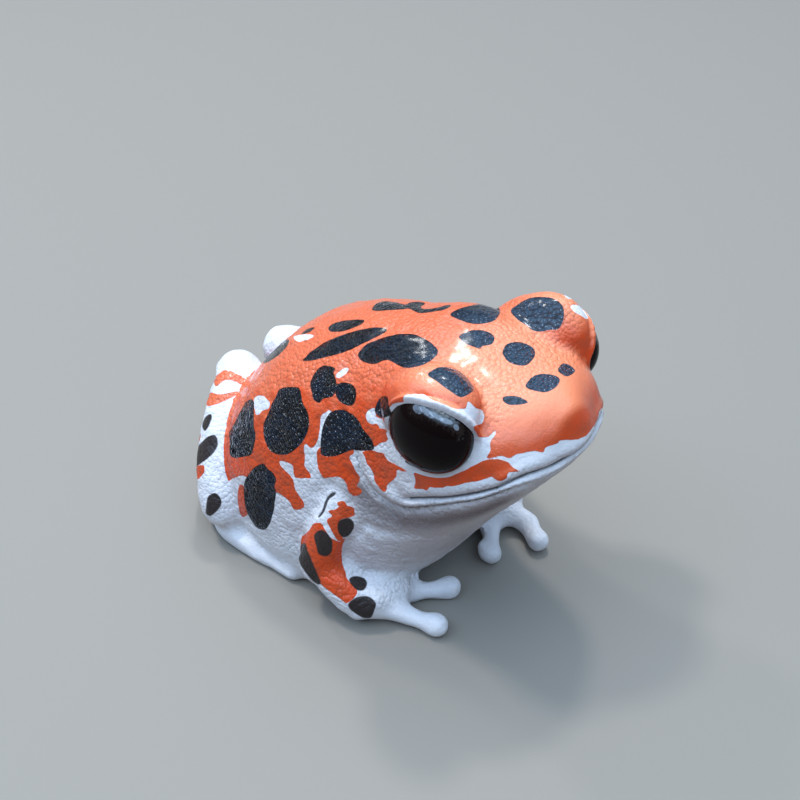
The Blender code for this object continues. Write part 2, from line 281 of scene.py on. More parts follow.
SHOULDER_SEAM = [
    (318.3, 516.6), (321.6, 512.2), (323.3, 507.9), (324.6, 503.4), (326.6, 498.9), (329.3, 495.6),
    (332, 493.3), (335, 493), (334.9, 494.8), (332.4, 496.6), (329.8, 498.2), (327.7, 501.6),
    (326.2, 506.1), (324.5, 510.6), (322.2, 514.4), (318.9, 517.5),
]
FAR_LID_FOLD = [(536, 336), (550, 343.5), (564.5, 347.5), (577, 350.5), (584, 357)]
ARMPIT = [(366, 525), (358, 532), (351, 541.5), (347.7, 554)]
THROAT_FOLD = [(366, 525), (392, 534), (417, 537), (450, 535), (480, 527)]
# Beside a crease: the lift, its height above the crease and its half width, in millimetres.
MOUTH_ROLLS = [(0.16, 0.75, 0.5), (0.20, -0.5, 0.3), (-0.34, 0.0, 0.2)]
CHIN_ROLLS = [(-0.34, 0.0, 0.26)]
# A line in the picture, its lift and its half width in millimetres.
FAR_LID_CREASE = (FAR_LID_FOLD, -0.20, 0.5)
FOLDS = [
    (JAW_FOLD, -0.30, 0.35),
    (JAW_EDGE, 0.24, 0.6),
    (NECK_HOLLOW, -0.26, 0.8),
    (ARMPIT, -0.20, 0.4),
    (THROAT_FOLD, -0.16, 0.6),
]


def picture(points):
    """Where points of the figure fall in the 800 by 800 picture."""
    away = points - np.array(CAMERA_PLACE)
    reach = LENS / SENSOR * FRAME_SIDE / (away @ np.array(CAMERA_LOOK))
    across = FRAME_SIDE / 2 + away @ np.array(CAMERA_RIGHT) * reach
    down = FRAME_SIDE / 2 - away @ np.array(CAMERA_UP) * reach
    return np.stack((across, down), axis=1)


def rounded(corners, steps=4):
    """A closed smooth curve through the corners."""
    line = []
    count = len(corners)
    for index in range(count):
        p0, p1, p2, p3 = (np.array(corners[(index + shift) % count], float) for shift in (-1, 0, 1, 2))
        for step in range(steps):
            t = step / steps
            bend = 2 * p0 - 5 * p1 + 4 * p2 - p3 + t * (3 * (p1 - p2) + p3 - p0)
            line.append(p1 + 0.5 * t * (p2 - p0 + t * bend))
    return np.array(line)


def inside_by(spots, outline):
    """How far inside the outline picture points lie, in the figure's millimetres, negative outside."""
    line = rounded(outline)
    depth = np.full(len(spots), FAR_OFF)
    margin = -FAR_OFF * PICTURE_PER_MM
    near = np.all((spots > line.min(axis=0) - margin) & (spots < line.max(axis=0) + margin), axis=1)
    places = spots[near]
    closest = np.full(len(places), FARTHEST)
    within = np.zeros(len(places), dtype=bool)
    for start, end in zip(line, np.roll(line, -1, axis=0)):
        run = end - start
        share = np.clip((places - start) @ run / max(run @ run, SMALLEST), 0, 1)
        closest = np.minimum(closest, np.sum((places - start - share[:, None] * run) ** 2, axis=1))
        crosses = (start[1] > places[:, 1]) != (end[1] > places[:, 1])
        rise = run[1] if abs(run[1]) > SMALLEST else SMALLEST
        within ^= crosses & (places[:, 0] < start[0] + (places[:, 1] - start[1]) * run[0] / rise)
    depth[near] = np.clip(np.where(within, 1, -1) * np.sqrt(closest) / PICTURE_PER_MM, FAR_OFF, DEEP_IN)
    return depth


def away_from(places, line):
    """How far places lie from a line of points in space, in millimetres."""
    closest = np.full(len(places), FARTHEST)
    for start, end in zip(line, line[1:]):
        run = end - start
        share = np.clip((places - start) @ run / (run @ run), 0, 1)
        closest = np.minimum(closest, np.sum((places - start - share[:, None] * run) ** 2, axis=1))
    return np.sqrt(closest) / MM


def step_up(values, low, high):
    share = np.clip((values - low) / (high - low), 0, 1)
    return share * share * (3 - 2 * share)


def hill(values, width):
    return np.exp(-((values / width) ** 2))


def rolled(height, rolls):
    return sum(lift * hill(height - middle, width) for lift, middle, width in rolls)


def cells(places, size):
    """Cell noise: every place's distance to its nearest seed, in cells of a size in millimetres."""
    return np.array([noise.voronoi(Vector(place))[0][0] for place in places / MM / np.array(size)])


def waves(places, size):
    return np.array([noise.noise(Vector(place)) for place in places / MM / np.array(size)])


def turned_to_camera(places, directions):
    away = np.array(CAMERA_PLACE) - places
    return np.sum(directions * away, axis=1) / np.linalg.norm(away, axis=1)


class Survey:
    """The skin's points, the near side's in place of the far side's, and where both fall in the picture."""

    def __init__(self):
        self.points = points_of(skin.data)
        self.normals = normals_of(skin.data)
        left = self.points[:, :1] > 0
        self.near_points = np.where(left, self.points * MIRROR, self.points)
        self.near_normals = np.where(left, self.normals * MIRROR, self.normals)
        self.facing = turned_to_camera(self.points, self.normals)
        self.near_facing = turned_to_camera(self.near_points, self.near_normals)
        self.direct = picture(self.points)
        self.near = picture(self.near_points)
        self.y = self.points[:, 1] / MM
        self.z = self.points[:, 2] / MM


def halved(near):
    """Halves the mesh where both ends of an edge are marked."""
    shape = bmesh.new()
    shape.from_mesh(skin.data)
    edges = [edge for edge in shape.edges if near[edge.verts[0].index] and near[edge.verts[1].index]]
    bmesh.ops.subdivide_edges(shape, edges=edges, cuts=1, use_grid_fill=True)
    shape.to_mesh(skin.data)
    shape.free()


def near_sheet(line, reach):
    """Marks the skin's points within reach of the level sheet through a line along the head."""
    order = np.argsort(line[:, 1])
    points = points_of(skin.data)
    rise = np.interp(points[:, 1], line[order, 1], line[order, 2])
    return (np.abs(points[:, 2] - rise) < reach) & (points[:, 1] < line[order[-1], 1] + reach)


def above_sheet(places, line):
    """Height above the level sheet through a line along the head, and distance behind that line's end."""
    order = np.argsort(line[:, 1])
    y, z = line[order, 1], line[order, 2]
    rise = np.interp(places[:, 1], y, z)
    return (places[:, 2] - rise) / MM * LIP_LEAN, (places[:, 1] - y[-1]) / MM


def by_the_lips(places):
    """Millimetres above the lips' cut and the chin's crease, and where along the head each runs."""
    lip_height, past_lips = above_sheet(places, lip_line)
    chin_height, past_chin = above_sheet(places, chin_line)
    return lip_height, chin_height, 1 - step_up(past_lips, -0.6, 0.3), 1 - step_up(past_chin, -0.6, 0.6)


def eye_middle():
    shape = merged_copy("right_eye")
    middle = sum((vertex.co for vertex in shape.verts), Vector()) / len(shape.verts)
    shape.free()
    return middle


def in_eye(places):
    """Places of the near side in the right eye's own frame, where its ball has a radius of one."""
    return (places - EYE_PLACE) @ EYE_TURN / EYE_SIZE


def lid_opening(survey):
    """The skin in the eye's frame, its distance from the middle, and how far inside the lids' opening."""
    from_eye = in_eye(survey.near_points)
    reach = np.linalg.norm(from_eye, axis=1)
    opening = np.full(len(reach), FAR_OFF)
    close = reach < LID_ZONE
    turned_off = 3 * step_up(-survey.near_facing[close], 0.05, 0.6)
    opening[close] = inside_by(survey.near[close], EYE_OPENING) - turned_off
    return from_eye, reach, opening


EYE_MIDDLE = eye_middle()
EYE_PLACE = np.array(EYE_MIDDLE)
EYE_TURN = np.array(Matrix.Rotation(-EYE_PITCH, 3, "X"))

lip_line = seen_on(skin.data, LIPS)
lip_line = lip_line[lip_line[:, 0] < 0]
for reach in LIP_BANDS:
    halved(near_sheet(lip_line, reach))
    near = near_sheet(lip_line, reach)
    points = points_of(skin.data)
    put_points(skin.data, np.where(near[:, None], smoothed(skin.data, points, LIP_SMOOTH_ROUNDS), points))
chin_line = seen_on(skin.data, CHIN_CREASE)
chin_line = chin_line[chin_line[:, 0] < 0]
hollow_line = seen_on(skin.data, NECK_HOLLOW)
folds = [(seen_on(skin.data, line), rise, width) for line, rise, width in FOLDS]
line, rise, width = FAR_LID_CREASE
folds.append((seen_on(skin.data, line) * MIRROR, rise, width))
for reach in SEAM_BANDS:
    survey = Survey()
    halved((inside_by(survey.near, SHOULDER_SEAM) > -reach) & (survey.near_facing > SEEN_ENOUGH))

survey = Survey()
lip_height, chin_height, in_mouth, in_chin = by_the_lips(survey.points)
lift = in_mouth * rolled(lip_height, MOUTH_ROLLS) + in_chin * rolled(chin_height, CHIN_ROLLS)
on_lid = 1 - step_up(np.linalg.norm(in_eye(survey.near_points), axis=1), 1.45, 1.8)
on_back = step_up(survey.near_normals[:, 2], -0.1, 0.35) * step_up(survey.y, -13.0, -8.0)
on_back *= step_up(survey.z, 7, 10)
low = (1 - step_up(survey.near_normals[:, 2], 0.0, 0.35)) * step_up(survey.z, 2.0, 4.0)
neck = hill(away_from(survey.near_points, hollow_line), HOLLOW_WIDTH)
pebbles = (MEAN_CELL - cells(survey.points, PEBBLE_SIZE)) * (0.6 + 0.6 * waves(survey.points, 4))
wrinkles = MEAN_CELL - cells(survey.points, WRINKLE_SIZE)
studs = MEAN_CELL - cells(survey.points, STUD_SIZE)
swells = waves(survey.points, SWELL_SIZE)
lift += PEBBLE_HEIGHT * on_back * (1 - on_lid) * pebbles
lift += WRINKLE_HEIGHT * low * (1 - on_lid) * (1 - neck) * wrinkles + STUD_HEIGHT * neck * studs
lift += (SWELL_HEIGHT - SNOUT_CALM * step_up(-survey.y, 11, 15)) * swells * (1 - 0.6 * on_lid)
for line, rise, width in folds:
    lift += rise * hill(away_from(survey.near_points, line), width)
seam = np.where(survey.near_facing > SEEN_ENOUGH, inside_by(survey.near, SHOULDER_SEAM), FAR_OFF)
lift -= SEAM_DEPTH * step_up(seam, -0.12, 0.05)
put_points(skin.data, survey.points + survey.normals * lift[:, None] * MM)

for width in RIM_BANDS:
    survey = Survey()
    _, reach, opening = lid_opening(survey)
    halved((np.abs(opening) < width) & (reach < 1.3) & (survey.near_facing > -SEEN_ENOUGH))
survey = Survey()
from_eye, reach, opening = lid_opening(survey)
lid = step_up(-opening, 0.02, 0.22) * step_up(-opening, 1.5, 0.5)
lid_reach = 1 + (LID_HEIGHT * lid - LID_INSIDE * step_up(opening, -0.02, 0.15)) / EYE_MEAN_SIZE
wanted = np.where(lid > 0, np.maximum(reach, lid_reach), reach)
wanted = np.where(opening > 0, np.minimum(reach, lid_reach), wanted)
moved = (from_eye * (wanted / np.maximum(reach, SMALLEST))[:, None] * EYE_SIZE) @ EYE_TURN.T + EYE_PLACE
moved = np.where(survey.points[:, :1] > 0, moved * MIRROR, moved)
put_points(skin.data, np.where((reach < LID_ZONE)[:, None], moved, survey.points))
rim = (np.abs(opening) < 0.8) & (reach < 1.35)
points = points_of(skin.data)
evened = smoothed(skin.data, points, RIM_SMOOTH_ROUNDS, 0.5, 0.3)
put_points(skin.data, np.where(rim[:, None], evened, points))

# Where the paint goes
# The factory's brush marks are kept as outlines in the 800 by 800 picture, thrown onto the skin.
# The far side takes the near side's flank, lips, arm and leg marks, mirrored.
# The rear has round spots of its own, each an azimuth, an elevation and a size in millimetres.
TOP_SPOTS = [
    [(511, 311), (517, 305), (527, 299), (539, 297), (551, 298), (560, 303), (564, 311), (563, 321),
     (558, 329), (549, 330), (541, 332), (532, 330), (526, 325), (517, 319)],
    [(450, 315), (459, 309), (473, 305), (486, 304), (496, 306), (500, 311), (496, 319), (488, 323),
     (476, 324), (463, 321)],
    [(459, 337), (466, 332), (476, 330), (488, 332), (494, 337), (492, 344), (483, 346), (480, 349),
     (474, 347), (466, 344)],
    [(503, 351), (506, 345), (514, 342), (524, 343), (533, 348), (535, 355), (531, 361), (526, 365),
     (517, 365), (509, 362), (504, 356)],
    [(558, 371), (561, 365), (567, 364), (575, 370), (571, 375), (565, 376)],
    [(526, 384), (534, 376), (544, 374), (556, 376), (560, 380), (556, 387), (547, 392), (536, 391),
     (527, 388)],
    [(503, 398), (508, 396), (519, 397), (528, 402), (524, 404), (511, 405), (504, 402)],
    [(428, 375), (433, 370), (441, 367), (453, 368), (463, 374), (470, 381), (474, 389), (469, 394),
     (461, 397), (453, 393), (443, 386), (435, 380)],
    [(358, 355), (360, 351), (366, 345), (379, 339), (394, 335), (404, 334), (416, 335), (431, 343),
     (438, 352), (430, 361), (416, 367), (402, 367), (388, 360), (374, 364), (362, 361)],
    [(303, 361), (305, 357.5), (312, 351), (326, 342), (340, 336), (352, 332), (366, 328.5),
     (380, 327.5), (387, 330), (380, 335.5), (366, 342), (354, 348), (342, 353), (324, 357.5),
     (312, 360.5)],
    [(329, 327), (337, 322), (351, 320), (364, 320), (360, 325), (348, 330), (337, 332), (330, 331)],
    [(372, 309.5), (375, 304.5), (381, 302), (389, 301.5), (398, 303), (406, 304.5), (410, 302.5),
     (420, 302), (425, 303.5), (421, 307), (424, 309), (437, 307.5), (448, 305), (451, 306),
     (444, 309.5), (431, 312), (421, 313), (414, 311), (409, 308.5), (400, 309.5), (386, 310.5),
     (376, 311)],
    [(263, 363), (270, 351), (281, 342), (289, 340), (285, 349), (273, 359)],
    [(301, 334), (308, 329), (315, 327), (310, 332)],
]
FLANK_SPOTS = [
    [(323, 366), (329, 366), (335, 368.5), (333.5, 373), (336, 380), (336, 388), (333, 396), (328, 398),
     (323, 399), (319, 403), (313.5, 399.5), (312, 393), (310, 385), (313, 376), (318, 369)],
    [(337, 385), (343, 383), (351, 384), (355.5, 389), (356, 398), (353, 405), (346, 405), (339, 401),
     (336, 394)],
    [(279.5, 389.5), (288, 387), (298.5, 388), (301, 394.5), (303, 404.5), (307, 411), (309, 421),
     (308, 431), (303, 441), (299, 446), (289.5, 453.5), (278, 454.5), (270.5, 451), (265.5, 442.5),
     (263.5, 433), (264, 423), (268, 414), (272, 403), (275.5, 398)],
    [(246, 402), (252, 399.5), (254, 403.5), (254, 416), (254, 426), (255.5, 437.5), (253, 449),
     (251, 455), (243, 457), (235, 458), (230, 455), (230, 442.5), (229, 433.5), (233, 426), (237, 418),
     (241.5, 409.5)],
    [(321, 439), (322, 431), (325, 421), (330, 413), (337.5, 410), (346, 411), (354, 416), (360, 423),
     (363, 429), (371, 438.5), (374, 446), (372.5, 450), (362.5, 451), (352.5, 450), (346, 452.5),
     (336, 456), (327.5, 456.5), (321, 453.5)],
    [(375, 410), (378, 401), (382, 397), (387, 397), (389, 406), (391, 414), (383, 418), (377, 415)],
    [(263, 464), (268, 469), (274, 474), (276, 480), (274.5, 487), (276, 492.5), (274.5, 505.5),
     (272, 517), (268, 527), (263, 530), (256, 527), (251, 520), (246, 509), (244, 496), (244.5, 482),
     (249, 474), (254.5, 467.5)],
]
ORANGE_TRUNK = [
    [(601, 409), (616, 392), (616, 330), (604, 296), (560, 278), (480, 282), (380, 278), (300, 308),
     (256, 345), (236, 385), (222, 422), (220, 456), (226, 480), (236, 477), (245, 476), (256, 490),
     (268, 500), (275, 493), (280, 494), (289, 502), (294, 509), (303, 508), (303, 501), (296, 491),
     (293, 479), (286, 471), (280, 465), (280, 461), (286, 462), (293, 466), (294, 476), (299, 478),
     (306, 478), (311, 478), (309, 472), (304, 466), (305, 456), (304, 448), (306, 444), (311, 448),
     (317, 443), (319, 433), (320, 423), (321, 416), (326, 412), (331, 411), (340, 425), (352, 446),
     (374, 447), (380, 443), (387, 442), (394, 443), (404, 440), (412, 425), (404, 403), (405, 396),
     (415, 394), (424, 394), (430, 399), (438, 402), (450, 407), (459, 409), (466, 408), (467, 402),
     (470, 402), (476, 408), (482, 410), (484, 416), (482, 423), (474, 427), (477, 434), (479, 437),
     (487, 437), (492, 433), (495, 430), (496, 433), (494, 437), (490, 442), (490, 451), (487, 457),
     (491, 458), (501, 456), (509, 458), (516, 454), (526, 453), (536, 451), (543, 452), (546, 447),
     (557, 443), (560, 440), (574, 440), (584, 437), (592, 429), (597, 421)],
    [(362, 452), (370, 450), (377, 452), (383, 453), (387, 460), (393, 463), (400, 467), (407, 471),
     (405, 472), (397, 470), (396, 477), (392, 481), (387, 485), (386, 491), (382, 491), (378, 486),
     (375, 482), (372, 471), (367, 464), (365, 457)],
    [(414, 473), (421, 473), (430, 474), (440, 476), (450, 475), (459, 473), (469, 468), (479, 463),
     (487, 460), (499, 459), (508, 462), (513, 467), (520, 471), (515, 472), (508, 473), (507, 478),
     (501, 481), (494, 479), (491, 477), (479, 481), (466, 483), (453, 486), (445, 486), (444, 488),
     (436, 488), (430, 487), (427, 491), (422, 489), (414, 488), (416, 483), (415, 478)],
    [(319, 448), (342, 446), (352, 448), (354, 453), (349, 457), (352, 464), (356, 472), (360, 476),
     (359, 482), (355, 487), (358, 487), (362, 491), (359, 495), (352, 496), (348, 491), (346, 484),
     (341, 478), (333, 477), (324, 478), (321, 474), (318, 466)],
    [(244, 486), (239, 486), (238, 499), (240, 514), (246, 516), (252, 500)],
]
WHITE_TRUNK = [
    [(375, 408), (370, 409), (366, 414), (367, 421), (372, 424), (377, 424), (380, 428), (385, 429),
     (389, 433), (392, 434), (393, 426), (385, 424), (382, 419), (376, 416)],
    [(254.5, 398), (263, 395.5), (266, 398.5), (269.5, 403), (268, 408), (263, 410.5), (259, 414.5),
     (255.5, 413)],
    [(336, 375), (344, 368), (349, 368), (347, 373), (339, 378)],
]
WHITE_TOP = [
    [(564, 294), (570, 293), (575, 297), (568, 299)],
    [(571, 306), (577, 305), (584, 311), (588, 319), (580, 315), (573, 310)],
    [(294, 337), (300, 335), (308, 334), (314, 336), (306, 340), (297, 341)],
]
ORANGE_ARM = [
    [(328.5, 511), (335, 509), (338.5, 507), (337.5, 502.5), (344, 501), (347, 506), (352, 507),
     (356.5, 510.5), (355.5, 515), (350.5, 517.5), (344, 519), (339, 522), (339, 532), (343, 538),
     (341, 541), (337, 539), (333.5, 534.5), (331, 530), (327, 521.5), (328.5, 518), (332, 516)],
    [(313.5, 524), (320.5, 523), (325, 529.5), (329, 536), (334, 540), (340.5, 542), (345, 538),
     (342, 549), (342, 563), (345, 572), (348, 580), (357, 590), (355, 597), (347, 603), (343, 601),
     (324, 587), (310, 573), (298, 552), (300, 540), (309, 530)],
]
DARK_ARM = [
    [(338, 523), (342, 519), (349, 518), (354, 523), (353, 530), (348, 536), (342, 537), (338, 530)],
    [(314, 535), (320, 530), (327, 533), (332, 541), (332, 551), (327, 556), (319, 554), (316, 546)],
    [(298, 556), (299, 547), (305, 543), (308, 551), (314, 566), (321, 583), (314, 582), (302, 568)],
    [(349, 579), (355, 576), (364, 578), (367, 584), (364, 590), (357, 590), (351, 584)],
    [(348, 606), (355, 598), (367, 596), (376, 603), (374, 611), (370, 618), (359, 616)],
]
ORANGE_LEG = [
    [(214, 378), (225, 370), (235, 373), (246, 379), (248, 385), (243, 386), (235, 381), (225, 380),
     (216, 386)],
    [(209, 393), (220, 394), (230, 393), (241, 391), (230, 398), (220, 403), (208, 406), (205, 399)],
    [(194, 434), (200, 432), (200, 440), (194, 446)],
    [(193, 468), (203, 465), (204, 472), (197, 480), (192, 480)],
]
DARK_LEG = [
    [(202, 426), (205, 418), (210, 414), (212, 416), (210, 424), (205, 431)],
    [(194, 467), (197, 449), (206, 438), (215, 435), (218, 444), (213, 454), (203, 462)],
    [(206, 509), (208, 497), (215, 493), (221, 499), (220, 507), (211, 516), (206, 514)],
]
REAR_SPOTS = [(48, 34, 2.3), (74, 52, 1.9), (88, 22, 2.2), (64, 9, 1.5), (24, 48, 1.7), (104, 44, 1.4)]
REAR_MIDDLE = Vector((0, 14, 17)) * MM
OUTSIDE = 80 * MM
FACING_GRADE = 9
HIDDEN = 0.06
BARELY_SEEN = 0.03
ARM_REACH = 0.45
EDGE_BAND = 0.24
AT_EYE = 1.25
LOW_EDGE_Y = (-14, -12, -4, 4)
LOW_EDGE_Z = (30, 19.5, 15, 8.5)


def any_of(spots, outlines):
    return np.max([inside_by(spots, outline) for outline in outlines], axis=0)


def distance_to(survey, *parts):
    """How far the skin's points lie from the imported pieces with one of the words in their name."""
    tree = tree_of(*[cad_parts[name].data for name in FLESH if any(part in name for part in parts)])
    return np.array([tree.find_nearest(Vector(point))[3] for point in survey.points]) / MM


def direction(azimuth, elevation):
    flat = math.cos(math.radians(elevation))
    turn = math.radians(azimuth)
    return Vector((flat * math.cos(turn), flat * math.sin(turn), math.sin(math.radians(elevation))))


def rear_spots(places):
    """How far inside the rear's wavy round spots places lie, in millimetres."""
    tree = tree_of(skin.data)
    wobble = 1 + 0.5 * waves(places, 3.1)
    depths = []
    for azimuth, elevation, size in REAR_SPOTS:
        way = direction(azimuth, elevation)
        hit = tree.ray_cast(REAR_MIDDLE + way * OUTSIDE, -way)[0]
        depths.append(size * wobble - np.linalg.norm(places - np.array(hit), axis=1) / MM)
    return np.max(depths, axis=0)


def painted():
    """How far inside the orange, the black and the dark grey the skin's points lie, in millimetres."""
    survey = Survey()
    to_trunk = distance_to(survey, "head", "torso")
    to_arm = distance_to(survey, "arm", "hand")
    to_leg = distance_to(survey, "thigh", "shank", "foot")
    arm_side = np.clip(np.minimum(to_trunk, to_leg) - to_arm + ARM_REACH, -2, 2)
    leg_side = np.clip(to_trunk - to_leg, -2, 2)
    turns = np.stack((survey.facing, survey.near_facing), axis=1)
    facing, near_facing = smoothed(skin.data, turns, 8, 0.5, 0.5).T
    by_the_eye = 2 * step_up(-np.linalg.norm(in_eye(survey.near_points), axis=1), -1.6, -1.3)

    low_edge = np.interp(survey.y, LOW_EDGE_Y, LOW_EDGE_Z)
    low_edge += 0.9 * np.sin(survey.points[:, 0] / MM * 1.1 + 1.0)
    behind = np.clip(survey.z - low_edge, FAR_OFF, DEEP_IN)
    mirrored = np.where(near_facing > BARELY_SEEN, any_of(survey.near, ORANGE_TRUNK), behind)
    trunk = np.where(facing > BARELY_SEEN, any_of(survey.direct, ORANGE_TRUNK), mirrored)
    bare = any_of(survey.direct, WHITE_TRUNK)
    bare = np.where(facing > BARELY_SEEN, bare, any_of(survey.near, WHITE_TRUNK))
    bare = np.minimum(bare, FACING_GRADE * (np.maximum(facing, near_facing) + HIDDEN))
    trunk = np.minimum.reduce([trunk, -bare, -any_of(survey.direct, WHITE_TOP), -leg_side, -arm_side])
    arm = np.minimum(any_of(survey.near, ORANGE_ARM), arm_side)
    on_near_leg = np.minimum.reduce([leg_side, FACING_GRADE * (near_facing + 0.1)])
    leg = np.minimum.reduce([any_of(survey.near, ORANGE_LEG), on_near_leg, -arm_side])

    top_black = np.minimum(any_of(survey.direct, TOP_SPOTS), FACING_GRADE * (facing + HIDDEN))
    seen_flank = FACING_GRADE * (near_facing + HIDDEN) + by_the_eye
    flank_black = np.minimum(any_of(survey.near, FLANK_SPOTS), seen_flank)
    unseen = [-FACING_GRADE * (facing + HIDDEN), FACING_GRADE * (0.5 - near_facing)]
    rear_black = np.minimum.reduce([rear_spots(survey.points)] + unseen)
    black = np.maximum.reduce([top_black, flank_black, rear_black])
    black = np.minimum.reduce([black, -leg_side, -arm_side])
    dark_arm = np.minimum(any_of(survey.near, DARK_ARM), arm_side)
    dark_leg = np.minimum(any_of(survey.near, DARK_LEG), on_near_leg)
    return np.maximum.reduce([arm, leg, trunk]), black, np.maximum(dark_arm, dark_leg)


def note_down(piece, name, values):
    layer = piece.data.attributes.new(name, "FLOAT", "POINT")
    layer.data.foreach_set("value", values.astype(np.float32))


halved(np.min(np.abs(painted()), axis=0) < EDGE_BAND)
orange, black, dark = painted()
survey = Survey()
tops = survey.normals[:, 2]
_, reach, opening = lid_opening(survey)
orange = np.where(reach < AT_EYE, np.minimum(orange, -2 * opening - 0.5), orange)
black = np.where(reach < AT_EYE, np.maximum(black, 3 * opening - 0.45), black)
lip_height, chin_height, in_mouth, in_chin = by_the_lips(survey.points)
seam = np.where(survey.near_facing > 0.1, inside_by(survey.near, SHOULDER_SEAM), FAR_OFF)
# Painted shade: the crease mark darkens the lips' cut, the chin's crease, the shoulder seam and the jaw
# fold.
crease = np.minimum.reduce([
    np.abs(lip_height) - 0.10 + 3 * (1 - in_mouth),
    np.abs(chin_height) - 0.07 + 3 * (1 - in_chin),
    -2.5 * seam - 0.06,
    away_from(survey.near_points, seen_on(skin.data, JAW_FOLD)) - 0.07,
])
top = step_up(tops, 0.3, 0.65) * step_up(survey.z, 8, 12)
front = step_up(-survey.y, 7, 12)
on_snout = step_up(-survey.y, 15.5, 18.5) * step_up(lip_height, 0.4, 1.2)
smooth = np.maximum(1 - step_up(reach, 1.2, 1.45), on_snout)
smooth = np.where(black > 0, 0.35 * smooth, smooth)
leathery = (1 - top) * step_up(survey.z, 1.5, 3.0) * 0.62
beaded = np.where(np.maximum(orange, black) > 0, 0.88, 0.45) * top
note_down(skin, "orange", orange)
note_down(skin, "black", black)
note_down(skin, "dark", dark)
note_down(skin, "crease", crease)
note_down(skin, "beads", 0.12 + (1 - smooth) * np.maximum(beaded, leathery))
note_down(skin, "top", top)
# Painted sky sheen: the orange is paler on faces turned up, most at the front of the head.
note_down(skin, "painted_sheen", top * step_up(tops, 0.3, 0.6) * (0.35 + 0.5 * front * step_up(tops, 0.5, 0.95)))
# Painted sky reflection: the black is blue-grey at the front where it faces up.
note_down(skin, "sky_reflection", step_up(-survey.y, 5, 10) * step_up(tops, 0.25, 0.65))
# Painted shade: the white under the jaw and behind it is darkened along this line.
note_down(skin, "neck", hill(away_from(survey.near_points, seen_on(skin.data, JAW_SHADE)), 1.5))
# Painted shade: faces turned down are painted greyer.
note_down(skin, "under", step_up(-tops, -0.5, 0.5) * step_up(survey.z, 3, 8))


# Paint and plastic
# Satin white vinyl shows wherever no colour was brushed on; it is painted darker underneath and under the
# jaw as shade, and painted dark along its creases and seam as shade.
# The orange is a semi-gloss enamel, painted paler on faces turned up as sky sheen, and the spots are a gloss
# black, painted blue-grey on the front of the head as sky reflection and mottled with painted blue sheen.
# Small beads in the moulding catch the light through every coat.
WHITE = (0.72, 0.69, 0.70, 1)
# SHADED is painted shade for the white underneath; NECK_SHADE below is painted shade under the jaw.
SHADED = (0.50, 0.44, 0.45, 1)
ORANGE = (0.72, 0.066, 0.010, 1)
# Painted sky sheen for orange faces turned up.
SHEEN_ORANGE = (0.90, 0.30, 0.15, 1)
DULL_ORANGE = (0.46, 0.070, 0.025, 1)
BLACK = (0.002, 0.002, 0.004, 1)
# Painted blue sheen, mottled at random over the black.
BLUE_SHEEN_BLACK = (0.003, 0.009, 0.021, 1)
# Painted sky reflection for the black spots on top of the head.
SKY_REFLECTION_BLACK = (0.024, 0.044, 0.072, 1)
DARK = (0.030, 0.021, 0.019, 1)
# Painted shade for the creases and the shoulder seam.
CREASE_SHADE = (0.035, 0.03, 0.03, 1)
NECK_SHADE = (0.06, 0.020, 0.015, 1)
RAGGED_SCALE = 900.0
DULL_SCALE = 700.0
BLUE_SHEEN_SCALE = 330.0
BEADS_SCALE = 2700.0
GRAIN_SCALE = 6000.0
RAGGED_ORANGE = 0.25
RAGGED_SPOTS = 0.12
CRISP = 0.05
SOFT = 0.10
CREASE_WIDTH = 0.16
NECK_SHARE = 0.72
CREASE_SHADE_SHARE = 0.95


class Value:
    """A shader socket that adds, takes away and multiplies like a number."""

    def __init__(self, tree, socket):
        self.tree = tree
        self.socket = socket

    def joined(self, operation, *terms, clamp=False):
        node = self.tree.nodes.new("ShaderNodeMath")
        node.operation = operation
        node.use_clamp = clamp
        for slot, term in zip(node.inputs, terms):
            if isinstance(term, Value):
                self.tree.links.new(term.socket, slot)
            else:
                slot.default_value = term
        return Value(self.tree, node.outputs[0])

    def __add__(self, other):
        return self.joined("ADD", self, other)

    def __radd__(self, other):
        return self.joined("ADD", other, self)

    def __sub__(self, other):
        return self.joined("SUBTRACT", self, other)

    def __rsub__(self, other):
        return self.joined("SUBTRACT", other, self)

    def __mul__(self, other):
        return self.joined("MULTIPLY", self, other)

    def __rmul__(self, other):
        return self.joined("MULTIPLY", other, self)

    def over(self, width):
        """Rises from 0 to 1 as the value passes zero, across the given width."""
        return self.joined("MULTIPLY_ADD", self, 1.0 / width, 0.5, clamp=True)


class Finish:
    """The nodes of a material or of the sky, round its one shader."""

    def __init__(self, owner, shader="Principled BSDF"):
        owner.use_nodes = True
        self.tree = owner.node_tree
        self.shader = self.tree.nodes[shader]

    def filled(self, slots, values):
        for key, value in values.items():
            if isinstance(value, Value):
                self.tree.links.new(value.socket, slots[key])
            else:
                slots[key].default_value = value

    def node(self, kind, settings, values, output=0):
        node = self.tree.nodes.new(kind)
        for key, setting in settings.items():
            setattr(node, key, setting)
        self.filled(node.inputs, values)
        return Value(self.tree, node.outputs[output])

    def attribute(self, name):
        return self.node("ShaderNodeAttribute", {"attribute_name": name}, {}, "Fac")

    def place(self):
        return self.node("ShaderNodeTexCoord", {}, {}, "Object")

    def noise(self, place, scale, detail):
        return self.node("ShaderNodeTexNoise", {}, {"Vector": place, "Scale": scale, "Detail": detail})

    def mix(self, share, first, second):
        """Two colours mixed by a share."""
        return self.node("ShaderNodeMix", {"data_type": "RGBA"}, {0: share, 6: first, 7: second}, 2)

    def put(self, **values):
        self.filled(self.shader.inputs, {key.replace("_", " "): value for key, value in values.items()})


